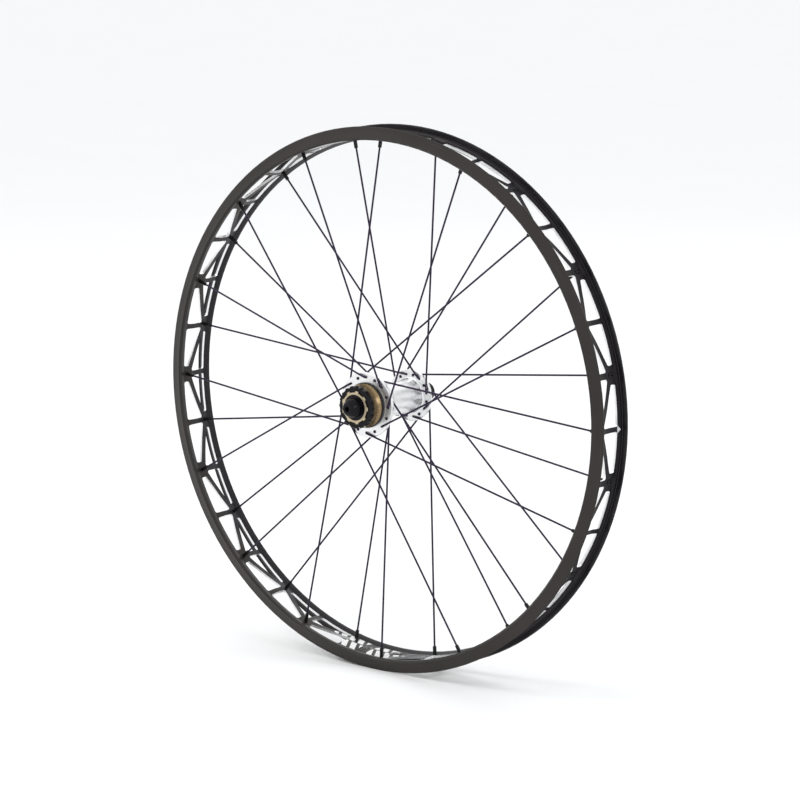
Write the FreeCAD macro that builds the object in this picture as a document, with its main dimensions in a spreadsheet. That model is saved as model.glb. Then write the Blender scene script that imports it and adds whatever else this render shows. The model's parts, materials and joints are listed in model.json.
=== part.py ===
import FreeCAD, Part
import math
import os
import Sketcher

# A 26 inch rear wheel: a single-wall rim with a cut-out bed, 32 spokes laced three-cross,
# and a 135 mm hub with a ratchet freehub. Millimetres. Origin at the wheel's centre,
# +Y along the axle away from the sprocket side, +Z up. Angles are measured from +X towards +Z.

# Each size that can be chosen by itself.
DIMS = {
    # rim
    "rim_radius": 285.5, "rim_half": 24.7, "edge_half": 21.7, "lip_corner": 0.9,
    "hook_half": 19.4, "hook_drop": 1.4, "flange_half": 20.1, "seat_depth": 6.0,
    "seat_half": 16.9, "seat_corner": 0.6, "bed_flat": 6.0, "bed_depth": 13.3,
    "bed_rise": 1.6, "bed_wall": 2.6, "bed_half": 15.5,
    "rail_drop": 0.7, "rail_half": 20.0, "rail_corner": 2.1, "rail_wall": 1.6, "side_arc": 95.0,
    "inner_wall": 0.96, "outer_wall": 2.2, "chamber_corner": 0.8, "chamber_slope": 2.4,
    # cut-outs in the rim's bed
    "boss_half": 8.6, "crossbar": 5.3, "strut": 5.7, "strut_reach": 9.9, "window_corner": 2.0,
    "valve_radius": 4.25,
    # spokes and nipples
    "spoke_count": 32, "spoke_radius": 1.0, "spoke_bend": 2.0, "spoke_reach": 0.8,
    "head_lip": 0.65, "head_taper": 0.1, "head_height": 1.1, "spoke_offset": 11.5,
    "nipple_radius": 1.95, "nipple_length": 11.5, "nipple_lip": 1.25, "nipple_head_height": 2.4,
    "nipple_rim": 0.8, "nipple_seat": 1.9, "flat_depth": 0.25, "flat_gap": 0.9,
    "nose_bevel": 0.35, "nose_length": 0.6,
    # hub shell, with its places along the axle measured in from the faces that meet the frame
    "over_locknut": 135.0, "near_inset": 33.2, "far_inset": 29.3,
    "near_circle": 28.9, "far_circle": 22.4, "hole_margin": 5.1, "flange_wall": 3.4,
    "flange_edge": 0.9, "barrel_radius": 17.3, "barrel_start": 8.0, "neck_radius": 23.4,
    "neck_run": 6.3, "neck_land": 3.0, "flange_fillet": 3.0, "face_stand": 1.9,
    "face_radius": 25.4, "boss_stand": 3.8, "boss_wall": 3.0, "boss_bevel": 1.0,
    "spoke_play": 0.3,
    # axle and its sleeves
    "bore_radius": 2.75, "axle_radius": 7.5, "axle_wall": 1.7, "axle_inset": 7.5,
    # bearings
    "shell_ball": 1.9, "shell_race": 3.25, "shell_width": 7.0, "shell_land": 0.45,
    "hub_ball": 1.2, "hub_race": 2.25, "hub_width": 5.0, "hub_land": 0.75,
    "near_rest": 16.3, "far_rest": 7.5, "inner_rest": 1.7, "outer_rest": 6.3,
    "seal_width": 0.6, "seal_recess": 0.1,
    # freehub
    "freehub_inset": 12.2, "drum_rest": 0.7, "drum_wall": 2.2, "step_wall": 1.0,
    "step_gap": 0.7, "step_width": 1.5, "carrier_radius": 22.9, "carrier_width": 10.8,
    "carrier_land": 1.6, "carrier_shoulder": 19.6, "carrier_crown": 16.0, "seal_lip": 0.55,
    "spline_radius": 17.4, "spline_root": 15.6, "groove_half": 3.9, "spline_count": 9,
    "key_root": 0.6, "mouth_step": 1.5, "seal_stand": 0.7,
    "spacer_radius": 22.1, "notch_depth": 1.2, "spacer_width": 4.5,
    "notch_count": 20, "notch_half": 2.25, "notch_flare": 0.7,
    # ratchet
    "tooth_count": 72, "tooth_depth": 1.2, "tooth_gap": 0.6, "ratchet_wall": 1.4,
    "ratchet_width": 9.0, "pivot_stand": 2.0, "pivot_radius": 1.6, "pawl_width": 6.0,
    "pawl_rest": 1.7, "pocket_wall": 1.1, "pocket_length": 9.9, "spring_width": 3.0,
    # end caps
    "mouth_lip": 1.2, "cap_wall": 2.3, "cap_land": 1.5, "cap_crown": 12.0, "nose_step": 1.5,
    "plug_wall": 1.4, "collar_wall": 2.1, "collar_width": 6.5, "dust_lip": 3.5,
    "dust_width": 1.7, "dust_taper": 1.2, "tube_wall": 1.3, "cap_depth": 1.5,
    "grip_count": 30, "grip_depth": 0.4, "grip_half": 0.7,
    # clearances, and how far a cutter runs past what it cuts
    "running": 0.15, "slip": 0.05, "gap": 0.5, "edge_break": 0.5, "past": 1.0,
}

# Each size that follows from others, in the order that they are worked out.
DERIVED = {
    "bed_radius": "rim_radius - bed_depth",
    "head_radius": "spoke_radius + head_lip",
    "head_crown": "spoke_radius - head_taper",
    "spoke_hole": "spoke_radius + spoke_play",
    "nipple_head": "nipple_radius + nipple_lip",
    "near_rim": "near_circle + hole_margin",
    "far_rim": "far_circle + hole_margin",
    "near_flange": "over_locknut / 2 - near_inset",
    "far_flange": "over_locknut / 2 - far_inset",
    "freehub_end": "over_locknut / 2 - freehub_inset",
    "axle_end": "over_locknut / 2 - axle_inset",
    "neck_start": "near_flange - neck_run",
    "shell_face": "near_flange + face_stand",
    "shell_end": "far_flange + boss_stand",
    "near_bearing": "near_flange - near_rest",
    "far_bearing": "shell_end - far_rest",
    "inner_bearing": "near_flange + inner_rest",
    "outer_bearing": "freehub_end - outer_rest",
    "ratchet_start": "near_bearing + shell_width",
    "pawl_start": "ratchet_start + pawl_rest",
    "drum_end": "ratchet_start + drum_rest",
    "step_face": "shell_face + step_gap",
    "carrier_face": "step_face + step_width",
    "axle_shoulder": "axle_radius + axle_wall",
    "sleeve_radius": "axle_radius + axle_wall",
    "shell_pitch": "axle_radius + shell_race",
    "shell_outer": "shell_pitch + shell_race",
    "shell_bore": "shell_pitch + shell_land",
    "end_radius": "shell_outer + boss_wall",
    "hub_pitch": "axle_radius + hub_race",
    "hub_outer": "hub_pitch + hub_race",
    "drum_bore": "hub_pitch + hub_land",
    "pocket_floor": "drum_bore + pocket_wall",
    "pivot_circle": "pocket_floor + pivot_stand",
    "drum_radius": "pivot_circle + drum_wall",
    "tooth_tip": "drum_radius + tooth_gap",
    "tooth_root": "tooth_tip + tooth_depth",
    "ratchet_outer": "tooth_root + ratchet_wall",
    "step_radius": "ratchet_outer + step_wall",
    "mouth_radius": "hub_outer + mouth_step",
    "seal_radius": "carrier_radius + seal_stand",
    "spacer_notch": "spacer_radius - notch_depth",
    "cap_flange": "hub_outer + mouth_lip",
    "cap_base": "axle_radius + cap_wall",
    "nose_radius": "axle_radius - nose_step",
    "cap_plug": "axle_radius + plug_wall",
    "tube_radius": "axle_radius + tube_wall",
    "collar_radius": "axle_radius + collar_wall",
    "dust_radius": "cap_plug + dust_lip",
}

doc = FreeCAD.newDocument("spoked_wheel")
sheet = doc.addObject("Spreadsheet::Sheet", "dims")
for row, (alias, content) in enumerate((DIMS | DERIVED).items(), start=1):
    sheet.set(f"A{row}", alias)
    sheet.set(f"B{row}", f"={content}" if alias in DERIVED else str(content))
    sheet.setAlias(f"B{row}", alias)
    doc.recompute()


class Size:
    """A length together with the spreadsheet expression that gives it."""

    def __init__(self, value, text):
        self.value = float(value)
        self.text = text

    def __add__(self, other):
        other = as_size(other)
        return Size(self.value + other.value, f"({self.text} + {other.text})")

    def __sub__(self, other):
        other = as_size(other)
        return Size(self.value - other.value, f"({self.text} - {other.text})")

    def __mul__(self, other):
        other = as_size(other)
        return Size(self.value * other.value, f"({self.text} * {other.text})")

    def __truediv__(self, other):
        other = as_size(other)
        return Size(self.value / other.value, f"({self.text} / {other.text})")

    def __neg__(self):
        return Size(-self.value, f"(0 - {self.text})")

    def root(self):
        return Size(math.sqrt(self.value), f"sqrt({self.text})")

    __radd__ = __add__


def as_size(number):
    if isinstance(number, Size):
        return number
    return Size(number, f"({float(number):.9f})")


class Sheet:
    """Gives each spreadsheet value as a Size, by its alias."""

    def __getattr__(self, alias):
        return Size(sheet.get(alias), f"dims.{alias}")


d = Sheet()


def bind(thing, name, size):
    size = as_size(size)
    setattr(thing, name, size.value)
    thing.setExpression(name, size.text)


# ---------------------------------------------------------------- sketches and features

def make_body(label):
    body = doc.addObject("PartDesign::Body", label)
    body.Label = label
    return body


def origin_part(body, role):
    for feature in body.Origin.OriginFeatures:
        if feature.Role == role:
            return feature
    raise ValueError(role)


def make_sketch(body, name, role="XY_Plane", offset=None):
    sketch = body.newObject("Sketcher::SketchObject", f"{body.Label}_{name}")
    sketch.AttachmentSupport = (origin_part(body, role), [""])
    sketch.MapMode = "FlatFace"
    if offset is not None:
        sketch.AttachmentOffset = offset
    return sketch


def hold(sketch, kind, ids, size):
    """One driving distance or radius, bound to the sheet."""
    size = as_size(size)
    index = sketch.addConstraint(Sketcher.Constraint(kind, *ids, size.value))
    sketch.setExpression(f"Constraints[{index}]", size.text)


def point(x, y):
    return FreeCAD.Vector(as_size(x).value, as_size(y).value, 0)


def arc_between(start, end, radius):
    """The shorter arc from start to end; a positive radius turns it anticlockwise."""
    chord = end - start
    half = chord.Length / 2
    left = FreeCAD.Vector(-chord.y, chord.x, 0).normalize()
    rise = math.sqrt(max(radius * radius - half * half, 0.0))
    centre = (start + end) / 2 + left * rise * math.copysign(1, radius)
    first, last = (start, end) if radius > 0 else (end, start)
    angle_first = math.atan2(first.y - centre.y, first.x - centre.x)
    angle_last = math.atan2(last.y - centre.y, last.x - centre.x)
    if angle_last < angle_first:
        angle_last += 2 * math.pi
    circle = Part.Circle(centre, FreeCAD.Vector(0, 0, 1), abs(radius))
    return Part.ArcOfCircle(circle, angle_first, angle_last)


def outline(sketch, points):
    """A closed outline. A point is (x, y), or (x, y, radius) where an arc leaves it."""
    edges = []
    for index, here in enumerate(points):
        start = point(*here[:2])
        end = point(*points[(index + 1) % len(points)][:2])
        if len(here) == 3:
            radius = as_size(here[2])
            geometry = arc_between(start, end, radius.value)
            first, last = (1, 2) if radius.value > 0 else (2, 1)
            edges.append((sketch.addGeometry(geometry), first, last))
            hold(sketch, "Radius", (edges[-1][0],), radius if radius.value > 0 else -radius)
        else:
            edges.append((sketch.addGeometry(Part.LineSegment(start, end)), 1, 2))
    for index, here in enumerate(points):
        edge, first, last = edges[index]
        before, _, before_last = edges[index - 1]
        sketch.addConstraint(Sketcher.Constraint("Coincident", before, before_last, edge, first))
        hold(sketch, "DistanceX", (-1, 1, edge, first), here[0])
        hold(sketch, "DistanceY", (-1, 1, edge, first), here[1])


def rounded_outline(sketch, corners, radius):
    """A closed outline of straight edges with every corner rounded to one radius."""
    count = len(corners)
    places = [point(*corner) for corner in corners]
    lines = []
    arcs = []
    for index, here in enumerate(places):
        before = (places[index - 1] - here).normalize()
        after = (places[(index + 1) % count] - here).normalize()
        half = before.getAngle(after) / 2
        reach = radius.value / math.tan(half)
        turn = before.cross(after).z
        start = here + before * reach
        end = here + after * reach
        signed = radius.value if turn < 0 else -radius.value
        ends = (1, 2) if turn < 0 else (2, 1)
        arcs.append((arc_between(start, end, signed), ends, start, end))
    for index in range(count):
        segment = Part.LineSegment(arcs[index][3], arcs[(index + 1) % count][2])
        lines.append(sketch.addGeometry(segment))
    for index, (geometry, (first, last), _, _) in enumerate(arcs):
        arc = sketch.addGeometry(geometry)
        corner = sketch.addGeometry(Part.Point(places[index]), True)
        before = lines[index - 1]
        after = lines[index]
        sketch.addConstraint(Sketcher.Constraint("Tangent", before, 2, arc, first))
        sketch.addConstraint(Sketcher.Constraint("Tangent", arc, last, after, 1))
        hold(sketch, "Radius", (arc,), radius)
        hold(sketch, "DistanceX", (-1, 1, corner, 1), corners[index][0])
        hold(sketch, "DistanceY", (-1, 1, corner, 1), corners[index][1])
        sketch.addConstraint(Sketcher.Constraint("PointOnObject", corner, 1, before))
        sketch.addConstraint(Sketcher.Constraint("PointOnObject", corner, 1, after))


def circle(sketch, x, y, radius):
    geometry = Part.Circle(point(x, y), FreeCAD.Vector(0, 0, 1), as_size(radius).value)
    index = sketch.addGeometry(geometry)
    hold(sketch, "Radius", (index,), radius)
    hold(sketch, "DistanceX", (-1, 1, index, 3), x)
    hold(sketch, "DistanceY", (-1, 1, index, 3), y)


def turn(body, points, name="turned"):
    """A piece turned about the axle: points are (radius, place along Y)."""
    sketch = make_sketch(body, f"{name}_profile")
    outline(sketch, points)
    feature = body.newObject("PartDesign::Revolution", f"{body.Label}_{name}")
    feature.Profile = sketch
    feature.ReferenceAxis = (sketch, ["V_Axis"])
    feature.Angle = 360
    return feature


def turned_body(label, points):
    body = make_body(label)
    turn(body, points)
    return body


def across(place, spin=0.0):
    """A plane square to the axle at this place along Y, its x axis turned by spin degrees."""
    rotation = FreeCAD.Rotation(FreeCAD.Vector(0, 0, 1), spin)
    return FreeCAD.Placement(FreeCAD.Vector(0, 0, -place.value), rotation)


def place_across(sketch, place):
    sketch.setExpression("AttachmentOffset.Base.z", (-place).text)


def facing_out(angle):
    """A plane through the axle whose normal points out at this angle; its x axis runs backwards."""
    rotation = FreeCAD.Rotation(FreeCAD.Vector(0, 1, 0), 90 - angle)
    return FreeCAD.Placement(FreeCAD.Vector(0, 0, 0), rotation)


def pocket(body, sketch, length=None, outward=False):
    """Cuts towards +Y from a plane across the axle, or outward from a plane through it."""
    feature = body.newObject("PartDesign::Pocket", f"{sketch.Name}_cut")
    feature.Profile = sketch
    if length is None:
        feature.Type = "ThroughAll"
    else:
        bind(feature, "Length", length)
    feature.Reversed = outward
    return feature


def pad(body, sketch, length):
    """Adds towards +Y from a plane across the axle."""
    feature = body.newObject("PartDesign::Pad", f"{sketch.Name}_pad")
    feature.Profile = sketch
    bind(feature, "Length", length)
    feature.Reversed = True
    return feature


def around(body, features, count, angle=360.0):
    """Repeats features round the axle; count is a Size, and sets the whole turn's steps."""
    pattern = body.newObject("PartDesign::PolarPattern", f"{features[0].Name}_ring")
    pattern.Originals = features
    pattern.Axis = (origin_part(body, "Y_Axis"), [""])
    pattern.Angle = angle
    pattern.Occurrences = round(count.value)
    pattern.setExpression("Occurrences", count.text)
    body.Tip = pattern
    return pattern


# ---------------------------------------------------------------- wheel angles

STEP = 360.0 / DIMS["spoke_count"]
NEAR_START = 112.5
FAR_START = NEAR_START + STEP
CROSSING = 67.5
VALVE_BOSS = 270.0
VALVE_CELL = VALVE_BOSS - STEP / 2


def on_circle(radius, angle, place):
    turned = math.radians(angle)
    return FreeCAD.Vector(radius * math.cos(turned), place, radius * math.sin(turned))


# side, face of the flange the elbow lies on, first hub angle, lean at the rim
FAMILIES = {
    "near_outer": (-1, 1, NEAR_START + 2 * STEP, CROSSING),
    "near_inner": (-1, -1, NEAR_START, -CROSSING),
    "far_outer": (1, 1, FAR_START, -CROSSING),
    "far_inner": (1, -1, FAR_START - 2 * STEP, CROSSING),
}


def bed_at(place):
    """The hub side of the rim's bed at this place along Y: flat in the middle, then rising."""
    climb = (abs(place) - d.bed_flat.value) / (d.bed_half.value - d.bed_flat.value)
    return d.bed_radius.value + d.bed_rise.value * max(climb, 0.0)


def spoke_line(family, index):
    """The spoke's hole in the flange, its elbow corner and the point where it meets the rim's bed."""
    side, face, start, lean = FAMILIES[family]
    near = side < 0
    hub_circle = (d.near_circle if near else d.far_circle).value
    flange = side * (d.near_flange if near else d.far_flange).value
    lift = (d.spoke_radius + d.slip if face > 0 else d.slip * 2).value
    elbow_place = flange + side * face * (d.flange_wall.value / 2 + d.spoke_radius.value + lift)
    angle = start + 4 * STEP * index
    hole = on_circle(hub_circle, angle, flange)
    elbow = on_circle(hub_circle, angle, elbow_place)
    rim_place = side * d.spoke_offset.value
    seat = on_circle(bed_at(rim_place), angle + lean, rim_place)
    return hole, elbow, seat


# ---------------------------------------------------------------- rim

def rim_half_outline():
    """The rim's section on the +Y side, from the bed's hub face round to its tyre face."""
    rail = d.bed_radius - d.rail_drop
    seat = d.rim_radius - d.seat_depth
    return [
        (d.bed_radius, d.bed_flat),
        (d.bed_radius + d.bed_rise, d.bed_half),
        (rail, d.rail_half),
        (rail, d.rim_half - d.rail_corner, d.rail_corner),
        (rail + d.rail_corner, d.rim_half, d.side_arc),
        (d.rim_radius - d.lip_corner, d.edge_half, d.lip_corner),
        (d.rim_radius, d.edge_half - d.lip_corner),
        (d.rim_radius - d.hook_drop / 2, d.hook_half),
        (d.rim_radius - d.hook_drop * 2, d.flange_half),
        (seat + d.seat_corner, d.flange_half),
        (seat, d.flange_half - d.seat_corner),
        (seat, d.seat_half),
        (d.bed_radius + d.bed_rise + d.bed_wall, d.bed_half),
        (d.bed_radius + d.bed_wall, d.bed_flat),
    ]


def mirrored(half):
    """An outline across the wheel's middle plane: the +Y half, then the same run backwards."""
    whole = list(half)
    for index in range(len(half) - 1, -1, -1):
        radius, place = half[index][:2]
        leaving = half[index - 1][2:] if index > 0 else ()
        whole.append((radius, -place) + tuple(leaving))
    return whole


def chamber(side):
    """The closed chamber inside one side rail."""
    low = d.bed_radius - d.rail_drop + d.rail_wall
    top = d.rim_radius - d.seat_depth - d.rail_wall
    inner = d.seat_half + d.inner_wall
    outer = d.rim_half - d.outer_wall
    corner = d.chamber_corner
    corners = [
        (low + d.chamber_slope, inner),
        (low, d.rail_half + corner),
        (low, outer - corner),
        (low + corner, outer),
        (top, outer),
        (top, inner),
    ]
    if side > 0:
        return corners
    return [(radius, -place) for radius, place in reversed(corners)]


def window(sense):
    """Corners of the two cut-outs between a near boss at x = 0 and the far boss beside it."""
    pitch = d.bed_radius * math.sin(math.radians(STEP))
    slope = d.strut_reach * 2 / pitch
    thick = (slope * slope + 1).root() * d.strut / 2
    reach = d.bed_half
    low_x = d.boss_half
    high_x = pitch - d.crossbar / 2
    low_y = (low_x - pitch / 2) * slope - thick
    high_y = (high_x - pitch / 2) * slope - thick
    near = [(low_x, -reach), (high_x, -reach), (high_x, high_y), (low_x, low_y)]
    far = [(pitch - x, -y) for x, y in near]
    if sense > 0:
        return near, far
    return [(-x, y) for x, y in reversed(near)], [(-x, y) for x, y in reversed(far)]


def make_rim():
    body = make_body("rim")
    turn(body, mirrored(rim_half_outline()))
    for name, side in (("near", -1), ("far", 1)):
        sketch = make_sketch(body, f"{name}_chamber")
        outline(sketch, chamber(side))
        groove = body.newObject("PartDesign::Groove", f"rim_{name}_hollow")
        groove.Profile = sketch
        groove.ReferenceAxis = (sketch, ["V_Axis"])
        groove.Angle = 360
    cells = d.spoke_count / 2
    pitch = 2 * STEP
    groups = (
        ("ahead", -1, NEAR_START, cells, 360.0),
        ("behind", 1, VALVE_BOSS - pitch, cells - 1, 360.0 - 2 * pitch),
    )
    for name, sense, angle, count, sweep in groups:
        cuts = []
        for part, corners in zip(("near", "far"), window(sense)):
            sketch = make_sketch(body, f"{name}_{part}_window", offset=facing_out(angle))
            rounded_outline(sketch, corners, d.window_corner)
            cuts.append(pocket(body, sketch, outward=True))
        around(body, cuts, count, sweep)
    sketch = make_sketch(body, "valve_hole", offset=facing_out(VALVE_CELL))
    circle(sketch, 0, 0, d.valve_radius)
    pocket(body, sketch, outward=True)
    for family in FAMILIES:
        drill_family(body, family)
    return body


def drill_family(body, family):
    """Holes along the spokes' own lines, each with a flat seat for the nipple's head."""
    _, elbow, seat = spoke_line(family, 0)
    rotation = FreeCAD.Rotation(FreeCAD.Vector(0, 1, 0), seat - elbow)
    sketch = make_sketch(body, f"{family}_drill", offset=FreeCAD.Placement(seat, rotation))
    shank = d.nipple_radius + d.running
    head = d.nipple_head + d.running
    clear = d.bed_wall * 2
    outline(sketch, [
        (0, -clear),
        (shank, -clear),
        (shank, d.nipple_seat),
        (head, d.nipple_seat),
        (head, clear),
        (0, clear),
    ])
    groove = body.newObject("PartDesign::Groove", f"rim_{family}_hole")
    groove.Profile = sketch
    groove.ReferenceAxis = (sketch, ["V_Axis"])
    groove.Angle = 360
    around(body, [groove], d.spoke_count / 4)


# ---------------------------------------------------------------- spokes and nipples

def add_shape(label, shape):
    feature = doc.addObject("Part::Feature", label)
    feature.Label = label
    feature.Shape = shape
    feature.Placement = FreeCAD.Placement()
    return feature


def spoke_shape(family, index):
    """One bent wire with its head, from the flange to inside the nipple."""
    side, face, _, _ = FAMILIES[family]
    hole, elbow, seat = spoke_line(family, index)
    along = (seat - elbow).normalize()
    outward = FreeCAD.Vector(0, side * face, 0)
    head_side = hole - outward * (d.flange_wall.value / 2 + d.slip.value)
    turn_angle = outward.getAngle(along)
    reach = d.spoke_bend.value * math.tan(turn_angle / 2)
    bend_start = elbow - outward * reach
    bend_end = elbow + along * reach
    inward = ((bend_start + bend_end) / 2 - elbow).normalize()
    centre = elbow + inward * (d.spoke_bend.value / math.cos(turn_angle / 2))
    middle = centre - inward * d.spoke_bend.value
    tip = seat + along * (d.nipple_seat + d.spoke_reach).value
    path = Part.Wire([
        Part.makeLine(head_side, bend_start),
        Part.Arc(bend_start, middle, bend_end).toShape(),
        Part.makeLine(bend_end, tip),
    ])
    section = Part.Wire([Part.makeCircle(d.spoke_radius.value, head_side, outward)])
    wire = path.makePipeShell([section], True, True)
    half = d.head_height.value / 2
    head = Part.makeCylinder(d.head_radius.value, half, head_side, -outward)
    crown_side = head_side - outward * half
    crown = Part.makeCone(d.head_radius.value, d.head_crown.value, half, crown_side, -outward)
    return wire.fuse([head, crown])


def nipple_shape(family, index):
    """A nipple: a shank with wrench flats under the bed and a round head on its seat."""
    _, elbow, seat = spoke_line(family, index)
    along = (seat - elbow).normalize()
    radius = d.nipple_radius.value
    bore = (d.spoke_radius + d.slip).value
    low = (d.nipple_seat - d.nipple_length).value
    base = (d.nipple_seat + d.slip).value
    top = base + d.nipple_head_height.value
    head = d.nipple_head.value
    profile = [
        (bore, low),
        (radius - d.nose_bevel.value, low),
        (radius, low + d.nose_length.value),
        (radius, base),
        (head, base),
        (head, base + d.nipple_rim.value),
        (radius, top),
        (bore, top),
    ]
    points = [FreeCAD.Vector(x, 0, z) for x, z in profile]
    face = Part.Face(Part.makePolygon(points + points[:1]))
    solid = face.revolve(FreeCAD.Vector(0, 0, 0), FreeCAD.Vector(0, 0, 1), 360)
    flat = 2 * (radius - d.flat_depth.value)
    wide = 4 * radius
    shank = -d.flat_gap.value - low
    jaw = Part.makeBox(wide, wide, shank, FreeCAD.Vector(-wide / 2, -wide / 2, low))
    core = Part.makeBox(flat, flat, shank, FreeCAD.Vector(-flat / 2, -flat / 2, low))
    solid = solid.cut(jaw.cut(core))
    rotation = FreeCAD.Rotation(FreeCAD.Vector(0, 0, 1), along)
    solid.Placement = FreeCAD.Placement(seat, rotation)
    return solid


def make_spokes():
    per_family = round(d.spoke_count.value / 4)
    for family in FAMILIES:
        spokes = [spoke_shape(family, index) for index in range(per_family)]
        add_shape(f"spokes_{family}", Part.makeCompound(spokes))
    for side in ("near", "far"):
        nipples = []
        for face in ("outer", "inner"):
            nipples += [nipple_shape(f"{side}_{face}", index) for index in range(per_family)]
        add_shape(f"nipples_{side}", Part.makeCompound(nipples))


# ---------------------------------------------------------------- hub shell

def make_hub_shell():
    wall = d.flange_wall / 2
    edge = d.flange_edge
    near_out = -(d.near_flange + wall)
    near_in = -(d.near_flange - wall)
    far_in = d.far_flange - wall
    far_out = d.far_flange + wall
    fillet = d.flange_fillet
    seat_end = -(d.near_bearing + d.shell_width)
    points = [
        (d.ratchet_outer, -d.shell_face),
        (d.face_radius, -d.shell_face),
        (d.face_radius, near_out),
        (d.near_rim - edge, near_out, edge),
        (d.near_rim, near_out + edge),
        (d.near_rim, near_in - edge, edge),
        (d.near_rim - edge, near_in),
        (d.neck_radius + fillet, near_in, -fillet),
        (d.neck_radius, near_in + fillet),
        (d.neck_radius, d.neck_land - d.neck_start),
        (d.barrel_radius, -d.barrel_start),
        (d.barrel_radius, far_in - fillet, -fillet),
        (d.barrel_radius + fillet, far_in),
        (d.far_rim - edge, far_in, edge),
        (d.far_rim, far_in + edge),
        (d.far_rim, far_out - edge, edge),
        (d.far_rim - edge, far_out),
        (d.end_radius + d.boss_bevel, far_out),
        (d.end_radius, far_out + d.boss_bevel),
        (d.end_radius, d.shell_end),
        (d.shell_outer, d.shell_end),
        (d.shell_outer, d.far_bearing),
        (d.shell_bore, d.far_bearing),
        (d.shell_bore, -d.near_bearing),
        (d.shell_outer, -d.near_bearing),
        (d.shell_outer, seat_end),
        (d.ratchet_outer, seat_end),
    ]
    body = turned_body("hub_shell", points)
    flanges = (
        ("near", d.near_circle, near_out - d.past, NEAR_START),
        ("far", d.far_circle, far_in - d.past, FAR_START),
    )
    for name, radius, place, angle in flanges:
        sketch = make_sketch(body, f"{name}_hole", "XZ_Plane", across(place, angle))
        place_across(sketch, place)
        circle(sketch, radius, 0, d.spoke_hole)
        around(body, [pocket(body, sketch, d.flange_wall + d.past * 2)], d.spoke_count / 2)


# ---------------------------------------------------------------- ratchet and pawls

TOOTH_SHARE = 0.92
TIP_PLAY = 1.35
ENGAGED_AT = 30.0


def tooth_corners():
    """One notch of the ratchet ring, its steep face on the x axis."""
    land = math.radians(TOOTH_SHARE * 360.0 / DIMS["tooth_count"])
    inside = d.tooth_tip - d.past / 2
    return [
        (inside, 0),
        (d.tooth_root, 0),
        (d.tooth_tip * math.cos(land), d.tooth_tip * math.sin(land)),
        (inside * math.cos(land), inside * math.sin(land)),
    ]


def make_ratchet_ring():
    start = -(d.ratchet_start + d.ratchet_width)
    body = turned_body("ratchet_ring", [
        (d.tooth_tip, start),
        (d.ratchet_outer, start),
        (d.ratchet_outer, start + d.ratchet_width),
        (d.tooth_tip, start + d.ratchet_width),
    ])
    place = start - d.past
    sketch = make_sketch(body, "notch", "XZ_Plane", across(place))
    place_across(sketch, place)
    outline(sketch, tooth_corners())
    around(body, [pocket(body, sketch, d.ratchet_width + d.past * 2)], d.tooth_count)


# The pawl's own axes: u points out through its pivot, v points the way the freehub drives.
PAWL_ARM = ((1.4, 0.3), (0.95, 5.8), (1.2, 8.1), (0.45, 7.4), (-1.35, 0.6))
PAWL_COUNT = 3


def pawl_angle():
    """Puts the pawl's tip just short of one tooth's steep face."""
    tip_u = d.pivot_circle.value + PAWL_ARM[2][0]
    tip_v = PAWL_ARM[2][1]
    return ENGAGED_AT + TIP_PLAY + math.degrees(math.atan2(tip_v, tip_u))


def make_pawls():
    place = -(d.pawl_start + d.pawl_width)
    for index in range(PAWL_COUNT):
        angle = pawl_angle() + index * 360.0 / PAWL_COUNT
        body = make_body(f"pawl_{index + 1}")
        barrel = make_sketch(body, "barrel", "XZ_Plane", across(place, angle))
        place_across(barrel, place)
        circle(barrel, d.pivot_circle, 0, d.pivot_radius)
        pad(body, barrel, d.pawl_width)
        arm = make_sketch(body, "arm", "XZ_Plane", across(place, angle))
        place_across(arm, place)
        outline(arm, [(d.pivot_circle + u, -v) for u, v in reversed(PAWL_ARM)])
        pad(body, arm, d.pawl_width)


# A spring's leaf in the same axes, u above the pocket's floor.
SPRING_LEAF = ((0.0, 1.2), (0.0, 7.8), (0.25, 7.8), (0.42, 4.5), (0.25, 1.2))


def make_pawl_springs():
    springs = []
    floor = (d.pocket_floor + d.slip / 2).value
    start = -(d.pawl_start + (d.pawl_width + d.spring_width) / 2).value
    for index in range(PAWL_COUNT):
        angle = pawl_angle() + index * 360.0 / PAWL_COUNT
        out = on_circle(1.0, angle, 0.0)
        ahead = on_circle(1.0, angle - 90.0, 0.0)
        base = FreeCAD.Vector(0, start, 0)
        corners = [out * (floor + u) + ahead * v + base for u, v in SPRING_LEAF]
        face = Part.Face(Part.makePolygon(corners + corners[:1]))
        springs.append(face.extrude(FreeCAD.Vector(0, d.spring_width.value, 0)))
    add_shape("pawl_springs", Part.makeCompound(springs))


# ---------------------------------------------------------------- freehub

SPLINE_TURN = 20.0
NOTCH_TURN = 9.0


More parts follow.
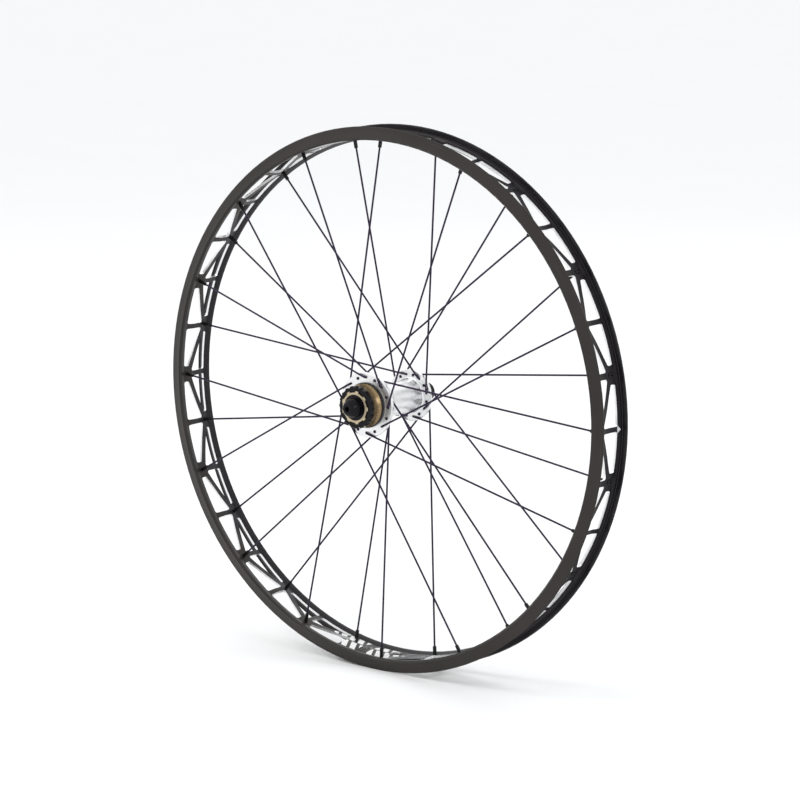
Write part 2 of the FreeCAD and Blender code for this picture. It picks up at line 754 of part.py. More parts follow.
def make_freehub():
    outer_end = -(d.outer_bearing + d.hub_width)
    inner_end = -(d.inner_bearing + d.hub_width)
    points = [
        (d.drum_bore, -d.drum_end),
        (d.drum_radius, -d.drum_end),
        (d.drum_radius, -d.step_face),
        (d.step_radius, -d.step_face),
        (d.step_radius, -d.carrier_face),
        (d.carrier_radius, -d.carrier_face),
        (d.carrier_radius, -(d.carrier_face + d.carrier_land), d.carrier_crown),
        (d.carrier_shoulder, -(d.carrier_face + d.carrier_width)),
        (d.spline_radius, -(d.carrier_face + d.carrier_width)),
        (d.spline_radius, -(d.freehub_end - d.edge_break)),
        (d.spline_radius - d.edge_break, -d.freehub_end),
        (d.mouth_radius, -d.freehub_end),
        (d.mouth_radius, outer_end),
        (d.hub_outer, outer_end),
        (d.hub_outer, -d.outer_bearing),
        (d.drum_bore, -d.outer_bearing),
        (d.drum_bore, inner_end),
        (d.hub_outer, inner_end),
        (d.hub_outer, -d.inner_bearing),
        (d.drum_bore, -d.inner_bearing),
    ]
    body = turned_body("freehub_body", points)
    place = -(d.freehub_end + d.past)
    sketch = make_sketch(body, "spline_groove", "XZ_Plane", across(place, SPLINE_TURN))
    place_across(sketch, place)
    top = d.spline_radius + d.past
    half = d.groove_half
    outline(sketch, [(d.spline_root, -half), (top, -half), (top, half), (d.spline_root, half)])
    length = d.freehub_end + d.past - d.carrier_face - d.carrier_width
    around(body, [pocket(body, sketch, length)], d.spline_count)
    cut_pockets(body)


def cut_pockets(body):
    """The drum's three pockets: a round seat for each pawl's pivot and room for its arm."""
    place = -(d.pawl_start + d.pawl_width + d.running)
    length = d.pawl_width + d.running * 2
    seat = make_sketch(body, "pawl_seat", "XZ_Plane", across(place, pawl_angle()))
    place_across(seat, place)
    circle(seat, d.pivot_circle, 0, d.pivot_radius + d.running)
    room = make_sketch(body, "pawl_room", "XZ_Plane", across(place, pawl_angle()))
    place_across(room, place)
    low = d.pocket_floor
    top = d.drum_radius + d.past
    outline(room, [(low, -d.pocket_length), (top, -d.pocket_length), (top, 0), (low, 0)])
    cuts = [pocket(body, seat, length), pocket(body, room, length)]
    around(body, cuts, as_size(PAWL_COUNT))


def make_freehub_trim():
    lip = -(d.step_face + d.running * 2 - d.seal_lip)
    turned_body("freehub_seal", [
        (d.step_radius, -(d.carrier_face - d.slip)),
        (d.step_radius, lip),
        (d.seal_radius - d.seal_lip, lip),
        (d.seal_radius, lip - d.seal_lip),
        (d.seal_radius, -(d.carrier_face - d.slip)),
    ])
    finish = -(d.carrier_face + d.carrier_width + d.running)
    start = finish - d.spacer_width
    bore = d.spline_radius + d.slip
    body = turned_body("spline_spacer", [
        (bore, start),
        (d.spacer_radius - d.edge_break, start),
        (d.spacer_radius, start + d.edge_break),
        (d.spacer_radius, finish - d.edge_break),
        (d.spacer_radius - d.edge_break, finish),
        (bore, finish),
    ])
    sketch = make_sketch(body, "key", "XZ_Plane", across(start, SPLINE_TURN))
    place_across(sketch, start)
    half = d.groove_half - d.running
    key_floor = d.spline_root + d.running
    key_top = bore + d.key_root
    outline(sketch, [(key_floor, -half), (key_top, -half), (key_top, half), (key_floor, half)])
    around(body, [pad(body, sketch, d.spacer_width)], d.spline_count)
    before = start - d.past
    notch = make_sketch(body, "notch", "XZ_Plane", across(before, NOTCH_TURN))
    place_across(notch, before)
    deep = d.spacer_notch
    clear = d.spacer_radius + d.past
    wide = d.notch_half
    mouth = wide + d.notch_flare
    outline(notch, [(deep, -wide), (clear, -mouth), (clear, mouth), (deep, wide)])
    around(body, [pocket(body, notch, d.spacer_width + d.past * 2)], d.notch_count)


# ---------------------------------------------------------------- bearings

# Shares of a ball's radius: its races' lands, its pitch round the ring, and its cage.
RACE_LAND = 0.76
BALL_SPACING = 3.1
CAGE_THIN = 0.3
CAGE_HALF = 1.12


def make_bearing(name, start, pitch, ball, outer, width):
    """Two grooved races, a ring of balls in a cage, and a seal at each side."""
    middle = start + width / 2
    land = ball * RACE_LAND
    inner_top = pitch - land
    outer_low = pitch + land
    groove = ball + d.running
    reach = (groove * groove - land * land).root()
    bore = d.axle_radius
    turned_body(f"{name}_inner_race", [
        (bore, start),
        (inner_top, start),
        (inner_top, middle - reach, -groove),
        (inner_top, middle + reach),
        (inner_top, start + width),
        (bore, start + width),
    ])
    turned_body(f"{name}_outer_race", [
        (outer, start),
        (outer, start + width),
        (outer_low, start + width),
        (outer_low, middle + reach, -groove),
        (outer_low, middle - reach),
        (outer_low, start),
    ])
    count = int(2 * math.pi * pitch.value / (ball.value * BALL_SPACING))
    balls = []
    for index in range(count):
        centre = on_circle(pitch.value, 360.0 * index / count, middle.value)
        balls.append(Part.makeSphere(ball.value, centre))
    add_shape(f"{name}_balls", Part.makeCompound(balls))
    thin = ball * CAGE_THIN
    half = ball * CAGE_HALF
    cage = turned_body(f"{name}_cage", [
        (pitch - thin, middle - half),
        (pitch + thin, middle - half),
        (pitch + thin, middle + half),
        (pitch - thin, middle + half),
    ])
    sketch = make_sketch(cage, "ball_hole", offset=facing_out(0))
    circle(sketch, 0, middle, ball + d.slip)
    around(cage, [pocket(cage, sketch, outward=True)], as_size(count))
    seal = d.seal_width
    seals = []
    for low in (start + d.seal_recess, start + width - d.seal_recess - seal):
        ring = Part.makeCylinder(outer_low.value - d.slip.value, seal.value)
        ring = ring.cut(Part.makeCylinder(inner_top.value + d.running.value, seal.value))
        rotation = FreeCAD.Rotation(FreeCAD.Vector(1, 0, 0), -90)
        ring.Placement = FreeCAD.Placement(FreeCAD.Vector(0, low.value, 0), rotation)
        seals.append(ring)
    add_shape(f"{name}_seals", Part.makeCompound(seals))


def make_bearings():
    shell = (d.shell_pitch, d.shell_ball, d.shell_outer, d.shell_width)
    freehub = (d.hub_pitch, d.hub_ball, d.hub_outer, d.hub_width)
    make_bearing("near_bearing", -(d.near_bearing + d.shell_width), *shell)
    make_bearing("far_bearing", d.far_bearing, *shell)
    make_bearing("inner_freehub_bearing", -(d.inner_bearing + d.hub_width), *freehub)
    make_bearing("outer_freehub_bearing", -(d.outer_bearing + d.hub_width), *freehub)


# ---------------------------------------------------------------- axle and end caps

def make_axle():
    turned_body("axle", [
        (d.bore_radius, -d.axle_end),
        (d.axle_radius, -d.axle_end),
        (d.axle_radius, -d.near_bearing),
        (d.axle_shoulder, -d.near_bearing),
        (d.axle_shoulder, d.far_bearing),
        (d.axle_radius, d.far_bearing),
        (d.axle_radius, d.axle_end),
        (d.bore_radius, d.axle_end),
    ])
    sleeves = (
        ("inner_sleeve", -d.inner_bearing, -(d.near_bearing + d.shell_width)),
        ("freehub_sleeve", -d.outer_bearing, -(d.inner_bearing + d.hub_width)),
    )
    for name, start, end in sleeves:
        turned_body(name, [
            (d.axle_radius, start),
            (d.sleeve_radius, start),
            (d.sleeve_radius, end),
            (d.axle_radius, end),
        ])


def make_near_cap():
    """A dome that bears on the dropout, with a thin collar that covers the outer bearing."""
    face = -(d.over_locknut / 2)
    seat = -(d.outer_bearing + d.hub_width)
    flange = seat - d.gap
    back = -(d.freehub_end - d.running)
    turned_body("near_end_cap", [
        (d.bore_radius, face),
        (d.nose_radius - d.edge_break, face),
        (d.nose_radius, face + d.edge_break, d.cap_crown),
        (d.cap_base, back - d.cap_land),
        (d.cap_base, back),
        (d.cap_flange, back),
        (d.cap_flange, flange),
        (d.cap_plug, flange),
        (d.cap_plug, seat),
        (d.axle_radius, seat),
        (d.axle_radius, -d.axle_end),
        (d.bore_radius, -d.axle_end),
    ])


def make_far_cap():
    """A spacer tube with a dust shield, and a ribbed cap that presses onto the axle's end."""
    seat = d.far_bearing + d.shell_width
    face = d.over_locknut / 2
    shield = d.shell_end + d.gap
    tube_end = face - d.collar_width
    cap_floor = d.axle_end + d.cap_depth
    turned_body("far_spacer", [
        (d.axle_radius, seat),
        (d.cap_plug, seat),
        (d.cap_plug, shield),
        (d.dust_radius, shield),
        (d.dust_radius, shield + d.dust_width),
        (d.tube_radius, shield + d.dust_width + d.dust_taper),
        (d.tube_radius, tube_end),
        (d.axle_radius, tube_end),
    ])
    cap_start = tube_end + d.slip
    body = turned_body("far_end_cap", [
        (d.axle_radius, cap_start),
        (d.collar_radius - d.edge_break, cap_start),
        (d.collar_radius, cap_start + d.edge_break),
        (d.collar_radius, face - d.edge_break),
        (d.collar_radius - d.edge_break, face),
        (d.bore_radius, face),
        (d.bore_radius, cap_floor),
        (d.axle_radius, cap_floor),
    ])
    before = tube_end - d.past
    sketch = make_sketch(body, "grip", "XZ_Plane", across(before))
    place_across(sketch, before)
    deep = d.collar_radius - d.grip_depth
    clear = deep + d.past
    outline(sketch, [(deep, 0), (clear, -d.grip_half), (clear, d.grip_half)])
    around(body, [pocket(body, sketch, d.collar_width + d.past * 2)], d.grip_count)


# ---------------------------------------------------------------- build, check and write

make_rim()
make_spokes()
make_hub_shell()
make_ratchet_ring()
make_freehub()
make_pawls()
make_pawl_springs()
make_freehub_trim()
make_bearings()
make_axle()
make_near_cap()
make_far_cap()
doc.recompute()

for thing in doc.Objects:
    if "Invalid" in thing.State or "Error" in thing.State:
        raise RuntimeError(f"{thing.Label} did not rebuild: {thing.State}")

nodes = [thing for thing in doc.Objects
         if thing.TypeId == "PartDesign::Body" or thing.TypeId == "Part::Feature"]
for node in nodes:
    if node.Shape.isNull() or not node.Shape.isValid():
        raise RuntimeError(f"{node.Label} has no valid shape")

os.makedirs("parts", exist_ok=True)
for node in nodes:
    node.Shape.exportStep(f"parts/{node.Label}.step")
    print(node.Label, len(node.Shape.Solids), round(node.Shape.Volume, 1))
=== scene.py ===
import json
import math

import bmesh
import bpy
from mathutils import Matrix, Vector

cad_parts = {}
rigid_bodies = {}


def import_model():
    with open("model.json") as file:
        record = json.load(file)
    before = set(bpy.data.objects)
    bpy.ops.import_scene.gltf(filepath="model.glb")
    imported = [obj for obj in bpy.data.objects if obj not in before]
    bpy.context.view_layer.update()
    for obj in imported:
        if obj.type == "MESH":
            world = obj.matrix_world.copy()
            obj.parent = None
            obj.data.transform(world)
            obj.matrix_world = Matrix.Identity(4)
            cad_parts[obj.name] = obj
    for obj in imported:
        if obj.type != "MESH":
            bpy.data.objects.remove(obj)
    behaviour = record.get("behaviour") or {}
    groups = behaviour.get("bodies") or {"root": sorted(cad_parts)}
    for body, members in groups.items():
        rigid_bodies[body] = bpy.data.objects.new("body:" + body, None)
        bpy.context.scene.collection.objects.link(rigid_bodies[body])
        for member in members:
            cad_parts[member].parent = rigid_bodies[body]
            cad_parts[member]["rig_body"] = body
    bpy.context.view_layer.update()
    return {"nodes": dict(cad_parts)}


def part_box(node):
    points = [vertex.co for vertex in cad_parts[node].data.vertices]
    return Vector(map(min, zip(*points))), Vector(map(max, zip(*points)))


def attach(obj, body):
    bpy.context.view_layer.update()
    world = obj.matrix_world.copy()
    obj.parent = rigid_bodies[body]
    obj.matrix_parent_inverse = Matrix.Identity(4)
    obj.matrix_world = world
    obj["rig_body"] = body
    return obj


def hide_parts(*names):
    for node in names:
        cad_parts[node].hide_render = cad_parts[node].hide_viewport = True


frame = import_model()


# ---------------------------------------------------------------- rim
# The rim is one hoop of extruded aluminium with a hollow rail on each side and a dished bed between
# them. It is bead-blasted and anodised black, and then the triangular windows and the spoke holes are
# milled through the bed, so that the walls of every cut are bare bright metal.

class Value:
    """An output in a finish's nodes. Arithmetic on values adds Math nodes to that finish."""

    def __init__(self, finish, socket):
        self.finish = finish
        self.socket = socket

    def output(self, name):
        return Value(self.finish, self.socket.node.outputs[name])

    def maths(self, operation, *others):
        return self.finish.node("Math", {"operation": operation}, dict(enumerate((self, *others))))

    def __add__(self, other):
        return self.maths("ADD", other)

    def __mul__(self, other):
        return self.maths("MULTIPLY", other)

    def __sub__(self, other):
        return self.maths("SUBTRACT", other)

    def __rsub__(self, other):
        return self.finish.node("Math", {"operation": "SUBTRACT"}, {0: other, 1: self})

    def __truediv__(self, other):
        return self.maths("DIVIDE", other)

    def __lt__(self, other):
        return self.maths("LESS_THAN", other)

    def __gt__(self, other):
        return self.maths("GREATER_THAN", other)

    def __abs__(self):
        return self.maths("ABSOLUTE")

    def __rtruediv__(self, other):
        return self.finish.node("Math", {"operation": "DIVIDE"}, {0: other, 1: self})

    __radd__ = __add__
    __rmul__ = __mul__


class Finish:
    """A surface finish. Its patterns read Object coordinates, with the axle along Y."""

    def __init__(self, name, metallic):
        self.material = bpy.data.materials.new(name)
        self.material.use_nodes = True
        self.tree = self.material.node_tree
        self.shader = self.tree.nodes["Principled BSDF"]
        self.wear({"Metallic": metallic})

    def node(self, kind, settings, sockets):
        """A node of that kind, set up and then connected; its first output in use is the value."""
        made = self.tree.nodes.new("ShaderNode" + kind)
        for setting, value in settings.items():
            setattr(made, setting, value)
        for key, value in sockets.items():
            self.plug(made.inputs[key], value)
        return Value(self, next(socket for socket in made.outputs if socket.enabled))

    def plug(self, socket, value):
        if isinstance(value, Value):
            self.tree.links.new(value.socket, socket)
        elif isinstance(value, tuple) and socket.type == "RGBA":
            socket.default_value = (*value, 1.0)
        else:
            socket.default_value = value

    def wear(self, sockets):
        for name, value in sockets.items():
            self.plug(self.shader.inputs[name], value)

    def place(self):
        """Distance from the axle, angle about it, place along it, and the point itself."""
        point = self.node("TexCoord", {}, {}).output("Object")
        x = self.node("SeparateXYZ", {}, {"Vector": point})
        along, z = x.output("Y"), x.output("Z")
        radius = (x * x + z * z).maths("SQRT")
        return radius, z.maths("ARCTAN2", x), along, point

    def noise(self, where, scale, detail=2.0):
        return self.node("TexNoise", {}, {"Vector": where, "Scale": scale, "Detail": detail})

    def vector(self, x, y, z):
        return self.node("CombineXYZ", {}, {0: x, 1: y, 2: z})

    def rings(self, radius, along, pitch):
        """The fine grooves that a lathe leaves: noise that only changes across the cut."""
        cut = self.vector(radius / pitch, along / pitch, 0.0)
        return self.noise(cut, 0.55, 3.0)

    def between(self, share, low, high):
        mix = self.node("Mix", {"data_type": "RGBA"}, {0: share, 6: low, 7: high})
        return Value(self, mix.socket.node.outputs[2])

    def relief(self, height, depth):
        """Bumps of that depth in metres where the height goes from 0 to 1."""
        bump = self.node("Bump", {}, {"Height": height, "Distance": depth, "Strength": 1.0})
        self.wear({"Normal": bump})


WELD = 2e-6
COPLANAR = math.radians(0.5)
RIDGE = math.radians(32)
SMOOTHED = math.radians(30)


def eased(node, finishes, edge, bare=None):
    """The piece, in place of the plain node, with its corners eased by edge as deburring does."""
    plain = frame["nodes"][node]
    shape = bmesh.new()
    shape.from_mesh(plain.data)
    bmesh.ops.remove_doubles(shape, verts=shape.verts, dist=WELD)
    bmesh.ops.dissolve_limit(shape, angle_limit=COPLANAR, verts=shape.verts, edges=shape.edges)
    for face in shape.faces:
        face.material_index = int(bare is not None and bare(face))
    ridges = [line for line in shape.edges if line.is_manifold and line.calc_face_angle() > RIDGE]
    if edge:
        bmesh.ops.bevel(
            shape, geom=ridges, offset=edge, offset_type="OFFSET", segments=2, profile=0.5,
            affect="EDGES", clamp_overlap=True, material=-1,
        )
    bmesh.ops.recalc_face_normals(shape, faces=shape.faces)
    for face in shape.faces:
        face.smooth = True
    mesh = bpy.data.meshes.new(node + "_eased")
    shape.to_mesh(mesh)
    shape.free()
    mesh.set_sharp_from_angle(angle=SMOOTHED)
    for finish in finishes:
        mesh.materials.append(finish.material)
    piece = bpy.data.objects.new(node + "_eased", mesh)
    bpy.context.scene.collection.objects.link(piece)
    shading = piece.modifiers.new("flat_faces", "WEIGHTED_NORMAL")
    shading.keep_sharp = True
    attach(piece, plain["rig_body"])
    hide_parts(node)
    return piece


rim_low, rim_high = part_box("rim")
RIM_RADIUS = rim_high.x
BED_DEPTH = 0.0133
BED_TOP_DEPTH = 0.0085
BED_INSIDE = RIM_RADIUS - BED_DEPTH
BED_OUTSIDE = RIM_RADIUS - BED_TOP_DEPTH
BED_HALF = 0.0162
CUT_MARGIN = 0.0005
CUT_LEAN = 0.5
RIM_EDGE = 0.00025
VALVE_ANGLE = math.radians(-95.625)
SEAM_ANGLE = VALVE_ANGLE + math.pi
SEAM_HALF = 0.00012

anodising = Finish("black_anodising", 0.3)
radius, angle, along, point = anodising.place()
blast = anodising.noise(point, 2600.0, 3.0)
cloud = anodising.noise(point, 16.0, 3.0)
scuffs = anodising.noise(anodising.vector(radius * 420.0, along * 420.0, angle * 6.0), 1.0, 4.0)
# Painted shade: the far half of the rim gets a darker, cooler copy of the black anodising than the
# near half, for the shade on its inner face.
near_half_lit_colour = anodising.between(cloud, (0.013, 0.0110, 0.0100), (0.032, 0.0265, 0.0240))
far_half_painted_shade = anodising.between(cloud, (0.005, 0.004, 0.0055), (0.014, 0.011, 0.0145))
shade = anodising.between(along > 0.0, near_half_lit_colour, far_half_painted_shade)
shade = anodising.between((scuffs - 0.64) * 1.4, shade, (0.085, 0.078, 0.072))

# One hair-line butt joint crosses the section opposite the valve, where the hoop was closed.
seam = abs((angle - SEAM_ANGLE) * RIM_RADIUS) < SEAM_HALF
shade = anodising.between(seam, shade, (0.006, 0.006, 0.006))

# Two rows of plain slanted bars are printed in white on the bed, to both sides of the valve hole.
MARK_REACH = 0.050
MARK_PITCH = 0.0115
MARK_SHARE = 0.62
MARK_SLANT = 0.55
MARK_HALF = 0.0145
MARK_SPLIT = 0.0009
VALVE_MARGIN = 0.0065
MARK_SHIFT = 0.38
PRINT_RISE = 0.0018
CHIP_LEVEL = 0.66
arc = (angle - VALVE_ANGLE) * BED_INSIDE
step = (arc + along * MARK_SLANT) / MARK_PITCH + (along > 0.0) * MARK_SHIFT
bar = (step - step.maths("FLOOR")) < MARK_SHARE
printed = bar * (abs(arc) < MARK_REACH) * (abs(along) < MARK_HALF)
printed = printed * (radius < BED_INSIDE + PRINT_RISE)
printed = printed * (abs(arc) > VALVE_MARGIN) * (abs(along) > MARK_SPLIT)
chipped = printed * (anodising.noise(point, 700.0, 4.0) < CHIP_LEVEL)
shade = anodising.between(chipped, shade, (0.80, 0.80, 0.79))

gloss = blast * 0.10 + cloud * 0.10 + 0.30
anodising.wear({"Specular IOR Level": 0.4})
anodising.wear({"Base Color": shade, "Roughness": gloss + chipped * 0.18 + seam * 0.4})
anodising.wear({"Metallic": (1.0 - chipped) * 0.3})
anodising.relief(blast * 0.5 + scuffs * 0.2 - seam, 0.00004)

milled = Finish("milled_window_wall", 1.0)
radius, angle, along, point = milled.place()
tracks = milled.noise(milled.vector(radius * 2400.0, along * 90.0, angle * 25.0), 1.0, 3.0)
milled.wear({"Base Color": milled.between(tracks, (0.78, 0.79, 0.80), (0.95, 0.95, 0.95))})
milled.wear({"Roughness": tracks * 0.25 + 0.24})
milled.relief(tracks, 0.00003)


def is_cut(face):
    """The walls that a cutter leaves in the bed: they stand along the radius, between the rails."""
    middle = face.calc_center_median()
    reach = Vector((middle.x, 0.0, middle.z))
    inside = BED_INSIDE - CUT_MARGIN < reach.length < BED_OUTSIDE and abs(middle.y) < BED_HALF
    return inside and abs(face.normal.dot(reach.normalized())) < CUT_LEAN


eased("rim", [anodising, milled], RIM_EDGE, is_cut)


# ---------------------------------------------------------------- spokes and nipples
# Thirty-two plain-gauge stainless spokes, blackened, cross three others on their way to the rim. Each
# has a forged head and a bent elbow in its flange. Black aluminium nipples with four wrench flats pull
# them tight.

HEAD_EDGE = 0.0003
NIPPLE_EDGE = 0.00012

blackened = Finish("blackened_steel", 0.6)
radius, angle, along, point = blackened.place()
drawn = blackened.noise(point, 900.0, 3.0)
tint = blackened.noise(point, 35.0, 2.0)
violet = blackened.between(tint, (0.014, 0.009, 0.022), (0.036, 0.024, 0.056))
blackened.wear({"Base Color": violet})
blackened.wear({"Specular IOR Level": 0.25})
blackened.wear({"Roughness": drawn * 0.16 + 0.24})
blackened.relief(drawn, 0.00001)

nipple_black = Finish("nipple_anodising", 0.3)
radius, angle, along, point = nipple_black.place()
turned = nipple_black.rings(radius, along, 0.00012)
rubbed = nipple_black.noise(point, 500.0, 4.0)
dark = nipple_black.between((rubbed - 0.6) * 2.0, (0.010, 0.010, 0.011), (0.085, 0.083, 0.082))
nipple_black.wear({"Base Color": dark, "Roughness": turned * 0.15 + 0.22})
nipple_black.wear({"Specular IOR Level": 0.25})
nipple_black.relief(turned, 0.00001)

for family in ("near_outer", "near_inner", "far_outer", "far_inner"):
    eased("spokes_" + family, [blackened], HEAD_EDGE)
for side in ("near", "far"):
    eased("nipples_" + side, [nipple_black], NIPPLE_EDGE)


# ---------------------------------------------------------------- hub shell
# The shell is turned from one billet of aluminium and polished: a wide flange on the sprocket side, a
# smaller one on the other, and a slim barrel between. Sixteen holes in each flange take the spokes'
# elbows.

SHELL_EDGE = 0.00022

polish = Finish("polished_aluminium", 1.0)
radius, angle, along, point = polish.place()
lathe = polish.rings(radius, along, 0.00022)
haze = polish.noise(point, 60.0, 4.0)
scratch = polish.noise(polish.vector(radius * 900.0, along * 900.0, angle * 3.0), 1.0, 2.0)
bright = polish.between(haze, (0.76, 0.77, 0.78), (0.90, 0.90, 0.90))
bands = polish.rings(radius, along, 0.0016)
bright = polish.between((bands - 0.5) * 1.2, bright, (0.62, 0.63, 0.65))
polish.wear({"Base Color": polish.between((scratch - 0.66) * 3.0, bright, (0.50, 0.51, 0.52))})
polish.wear({"Roughness": lathe * 0.12 + haze * 0.12 + 0.22})
polish.relief(lathe + scratch * 0.4, 0.000012)

eased("hub_shell", [polish], SHELL_EDGE)


# ---------------------------------------------------------------- bearings
# Four sealed cartridge bearings: two in the shell and two in the freehub. Each is a ground inner and
# outer race, polished balls in a pressed brass cage, and a thin rubber seal on each side.

ground = Finish("ground_steel", 1.0)
radius, angle, along, point = ground.place()
wheel_marks = ground.rings(radius, along, 0.00009)
film = ground.noise(point, 240.0, 3.0)
ground.wear({"Base Color": ground.between(film, (0.56, 0.57, 0.58), (0.74, 0.75, 0.76))})
ground.wear({"Roughness": wheel_marks * 0.14 + 0.08})
ground.relief(wheel_marks, 0.000005)

mirror_steel = Finish("ball_steel", 1.0)
radius, angle, along, point = mirror_steel.place()
bloom = mirror_steel.noise(point, 900.0, 3.0)
clear = mirror_steel.between(bloom, (0.70, 0.71, 0.72), (0.82, 0.82, 0.83))
mirror_steel.wear({"Base Color": clear})
mirror_steel.wear({"Roughness": bloom * 0.08 + 0.03})

brass = Finish("pressed_brass", 1.0)
radius, angle, along, point = brass.place()
stains = brass.noise(point, 420.0, 4.0)
brass.wear({"Base Color": brass.between(stains, (0.55, 0.38, 0.14), (0.82, 0.64, 0.30))})
brass.wear({"Roughness": stains * 0.3 + 0.2})
brass.relief(stains, 0.00001)

rubber = Finish("moulded_rubber", 0.0)
radius, angle, along, point = rubber.place()
mould = rubber.noise(point, 2200.0, 3.0)
dust = rubber.noise(point, 90.0, 4.0)
grime = (dust - 0.5) * 1.5
rubber.wear({"Base Color": rubber.between(grime, (0.012, 0.012, 0.013), (0.045, 0.044, 0.042))})
rubber.wear({"Roughness": mould * 0.2 + 0.55})
rubber.relief(mould, 0.00003)

RACE_EDGE = 0.00008
SEAL_EDGE = 0.00005

for bearing in ("near_bearing", "far_bearing", "inner_freehub_bearing", "outer_freehub_bearing"):
    eased(bearing + "_inner_race", [ground], RACE_EDGE)
    eased(bearing + "_outer_race", [ground], RACE_EDGE)
    eased(bearing + "_balls", [mirror_steel], 0.0)
    eased(bearing + "_cage", [brass], 0.0)
    eased(bearing + "_seals", [rubber], SEAL_EDGE)


# ---------------------------------------------------------------- axle and sleeves
# The axle is a hollow aluminium tube that a quick-release skewer passes through. It carries the
# bearings' inner races, which two plain sleeves hold apart, and a spacer reaches the far end cap.

AXLE_EDGE = 0.00015

turned_alloy = Finish("turned_aluminium", 1.0)
radius, angle, along, point = turned_alloy.place()
feed = turned_alloy.rings(radius, along, 0.00016)
tarnish = turned_alloy.noise(point, 110.0, 4.0)
silver = turned_alloy.between(tarnish, (0.52, 0.53, 0.55), (0.76, 0.77, 0.78))
turned_alloy.wear({"Base Color": silver})
turned_alloy.wear({"Roughness": feed * 0.2 + 0.22})
turned_alloy.relief(feed, 0.00002)

for node in ("axle", "inner_sleeve", "freehub_sleeve", "far_spacer"):
    eased(node, [turned_alloy], AXLE_EDGE)


# ---------------------------------------------------------------- ratchet, pawls and springs
# A hardened steel ring with fine saw teeth is pressed into the shell. Three steel pawls on the freehub
# ride on it, each pushed out by its own leaf spring.

hardened = Finish("hardened_steel", 1.0)
radius, angle, along, point = hardened.place()
broach = hardened.noise(hardened.vector(radius * 60.0, along * 3000.0, angle * 40.0), 1.0, 3.0)
oil = hardened.noise(point, 130.0, 3.0)
hardened.wear({"Base Color": hardened.between(oil, (0.17, 0.16, 0.16), (0.36, 0.35, 0.34))})
hardened.wear({"Roughness": broach * 0.22 + 0.20})
hardened.relief(broach, 0.00001)

TOOTH_EDGE = 0.00006
PAWL_EDGE = 0.0001

eased("ratchet_ring", [hardened], TOOTH_EDGE)
eased("pawl_springs", [hardened], 0.0)
for number in (1, 2, 3):
    eased(f"pawl_{number}", [hardened], PAWL_EDGE)


# ---------------------------------------------------------------- freehub
# The freehub body is machined from aluminium and anodised bronze. Its round carrier covers the pawls,
# and its scalloped spline takes the sprocket. A thin rubber seal lies between carrier and shell.

FREEHUB_EDGE = 0.0003
SEAL_RING_EDGE = 0.0001
FLARE_START = 0.0400
RING_SHADE_FADE = 130.0
END_FACE = 0.0549

bronze = Finish("bronze_anodising", 1.0)
radius, angle, along, point = bronze.place()
sweep = bronze.rings(radius, along, 0.00018)
blotch = bronze.noise(point, 120.0, 4.0)
rub = bronze.noise(bronze.vector(radius * 500.0, along * 500.0, angle * 5.0), 1.0, 3.0)
warm = bronze.between(blotch, (0.21, 0.142, 0.074), (0.40, 0.295, 0.165))
# Painted shade and reflection: past FLARE_START the bronze flare darkens towards the black spacer
# ring, for the ring's dark reflection and the shade beside it.
painted_ring_shade = bronze.between((abs(along) - FLARE_START) * RING_SHADE_FADE, warm, (0.085, 0.058, 0.032))
khaki = bronze.between(blotch, (0.42, 0.35, 0.23), (0.60, 0.52, 0.37))
warm = bronze.between(abs(along) > END_FACE, painted_ring_shade, khaki)
bronze.wear({"Base Color": bronze.between((rub - 0.62) * 2.5, warm, (0.74, 0.64, 0.46))})
bronze.wear({"Roughness": sweep * 0.14 + blotch * 0.12 + (abs(along) > END_FACE) * 0.22 + 0.12})
bronze.relief(sweep + rub * 0.5, 0.000015)

eased("freehub_body", [bronze], FREEHUB_EDGE)
eased("freehub_seal", [rubber], SEAL_RING_EDGE)


# ---------------------------------------------------------------- spline spacer
# A black aluminium ring with notches round its edge fills the spline behind the sprocket.

SPACER_EDGE = 0.0003

gloss_black = Finish("gloss_black_anodising", 0.0)
radius, angle, along, point = gloss_black.place()
lay = gloss_black.rings(radius, along, 0.0002)
smudge = gloss_black.noise(point, 150.0, 4.0)
ink = gloss_black.between(smudge, (0.002, 0.002, 0.003), (0.007, 0.006, 0.008))
gloss_black.wear({"Base Color": ink})
gloss_black.wear({"Roughness": smudge * 0.14 + lay * 0.08 + 0.06, "Specular IOR Level": 0.13})
gloss_black.wear({"Coat Weight": smudge * 0.05, "Coat Roughness": 0.06})
gloss_black.relief(lay, 0.00001)

eased("spline_spacer", [gloss_black], SPACER_EDGE)


# ---------------------------------------------------------------- end caps
# Black aluminium caps close both ends of the axle: a smooth dome on the sprocket side, and a ribbed
# collar on the other. Their flat noses bear on the frame's dropouts.

CAP_EDGE = 0.0003

for node in ("near_end_cap", "far_end_cap"):
    eased(node, [gloss_black], CAP_EDGE)


# ---------------------------------------------------------------- studio
# A pale floor under the wheel, soft light from all round, and a long lens a little above the axle.

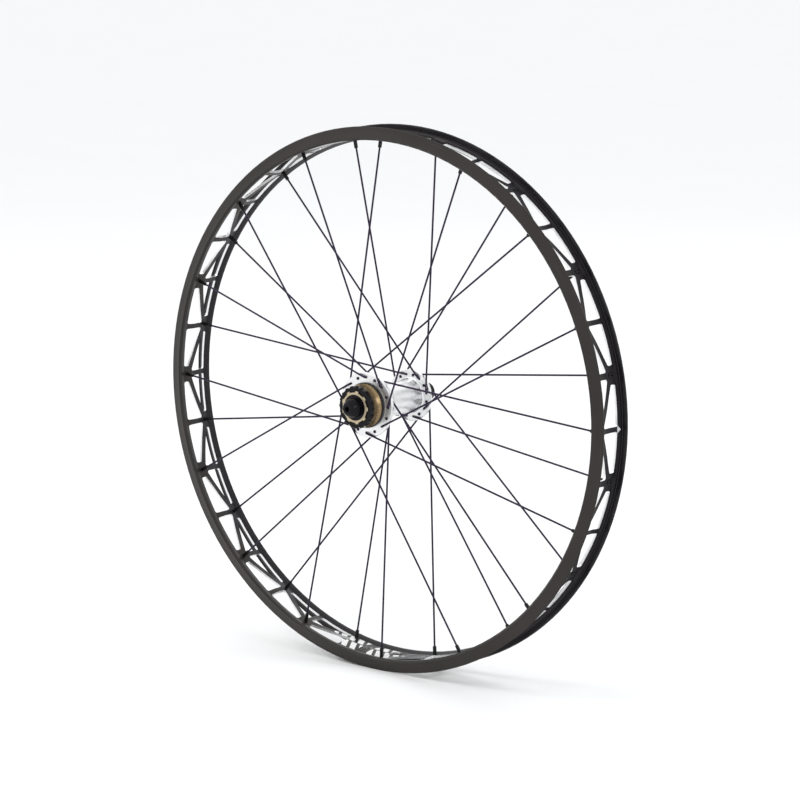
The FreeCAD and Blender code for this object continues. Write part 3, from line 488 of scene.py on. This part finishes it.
FLOOR_RADIUS = 30.0
FLOOR_SIDES = 96
floor_shape = bmesh.new()
bmesh.ops.create_circle(floor_shape, cap_ends=True, segments=FLOOR_SIDES, radius=FLOOR_RADIUS)
bmesh.ops.translate(floor_shape, verts=floor_shape.verts, vec=(0.0, 0.0, rim_low.z))
floor_mesh = bpy.data.meshes.new("studio_floor")
floor_shape.to_mesh(floor_mesh)
floor_shape.free()
floor = bpy.data.objects.new("studio_floor", floor_mesh)
bpy.context.scene.collection.objects.link(floor)
paper = Finish("white_paper", 0.0)
radius, angle, along, point = paper.place()
fibre = paper.noise(point, 3.0, 4.0)
paper.wear({"Base Color": paper.between(fibre, (0.875, 0.878, 0.882), (0.895, 0.898, 0.902))})
paper.wear({"Roughness": 0.9})
floor_mesh.materials.append(paper.material)

AZIMUTH = math.radians(38.39)
ELEVATION = math.radians(10.68)
DISTANCE = 10.136 * RIM_RADIUS
ASIDE = -0.0433 * RIM_RADIUS
ABOVE = 0.0597 * RIM_RADIUS
LENS_MM = 125.1
SENSOR_MM = 36.0
RISE = 0.0206
FARTHEST = 100.0

right = Vector((math.cos(AZIMUTH), math.sin(AZIMUTH), 0.0))
level = math.cos(ELEVATION)
back = Vector((math.sin(AZIMUTH) * level, -math.cos(AZIMUTH) * level, math.sin(ELEVATION)))
up = back.cross(right)
lens = bpy.data.cameras.new("studio_camera")
lens.lens = LENS_MM
lens.sensor_width = SENSOR_MM
lens.shift_y = RISE
lens.clip_end = FARTHEST
camera = bpy.data.objects.new("studio_camera", lens)
bpy.context.scene.collection.objects.link(camera)
turn = Matrix((right, up, back)).transposed().to_4x4()
camera.matrix_world = Matrix.Translation(back * DISTANCE - right * ASIDE - up * ABOVE) @ turn
bpy.context.scene.camera = camera


def softbox(name, place, size, power, colour):
    """A square soft light that faces the wheel."""
    light = bpy.data.lights.new(name, "AREA")
    light.size = size
    light.energy = power
    light.color = colour
    lamp = bpy.data.objects.new(name, light)
    lamp.location = place
    lamp.rotation_euler = (-Vector(place)).to_track_quat("-Z", "Y").to_euler()
    lamp.visible_camera = False
    bpy.context.scene.collection.objects.link(lamp)


softbox("key_light", (-1.6, -1.9, 2.6), 1.2, 26.0, (1.0, 0.97, 0.93))
softbox("side_light", (3.0, -0.4, 1.4), 1.4, 16.0, (0.96, 0.98, 1.0))
softbox("back_light", (-0.8, 2.8, 2.0), 2.0, 8.0, (1.0, 1.0, 1.0))

world = bpy.data.worlds.new("studio")
world.use_nodes = True
world.node_tree.nodes["Background"].inputs["Color"].default_value = (0.985, 0.992, 1.0, 1.0)
world.node_tree.nodes["Background"].inputs["Strength"].default_value = 1.06
bpy.context.scene.world = world
bpy.context.scene.view_settings.view_transform = "Standard"
